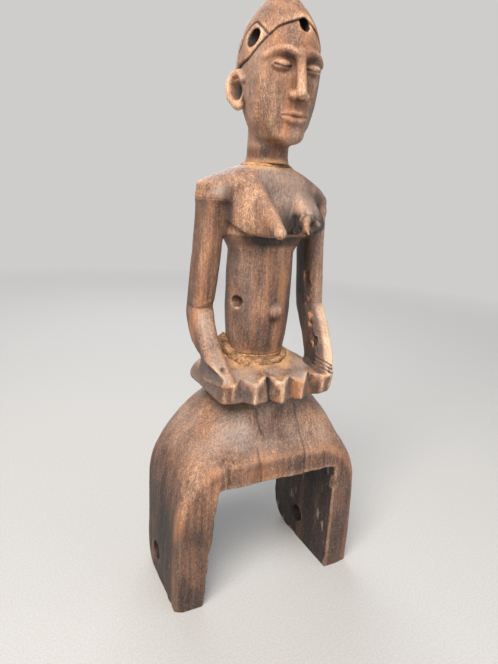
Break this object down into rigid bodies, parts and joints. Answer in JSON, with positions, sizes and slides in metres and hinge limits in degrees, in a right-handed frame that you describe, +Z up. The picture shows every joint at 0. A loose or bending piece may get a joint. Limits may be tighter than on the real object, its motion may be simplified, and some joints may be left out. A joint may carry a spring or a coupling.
{
  "type": "carved figure on a pulley stirrup",
  "caption": "Carved wooden female figure seated over a two-legged stirrup that is bored for a pulley's axle, with a cord bore through the hair cap to hang it by.",
  "frame": {"origin": "on the ground, under the middle of the whole figure's box", "axes": "+Z up from the feet to the crown, -Y the way the figure faces, +X towards the figure's left hand"},
  "size_m": [0.075, 0.0459, 0.21],
  "materials": {
    "dark_wood": "hand-worn patina, dark and a little dusty",
    "red_wood": "hand-worn patina, red-brown with a dull sheen",
    "worn_wood": "rubbed and worn, lighter on the edges",
    "filler": "crumbly wood filler, matt",
    "peg_wood": "plain whittled wood"
  },
  "bodies": {
    "root": {"stirrup": "dark_wood", "lap_plate": "worn_wood", "torso": "red_wood", "head": "worn_wood", "right_upper_arm": "red_wood", "left_upper_arm": "red_wood", "right_forearm": "worn_wood", "left_forearm": "worn_wood", "waist_filler": "filler", "neck_filler": "filler", "spine_peg": "peg_wood", "neck_peg": "peg_wood", "shoulder_pegs": "peg_wood", "elbow_pegs": "peg_wood"}
  },
  "joints": []
}
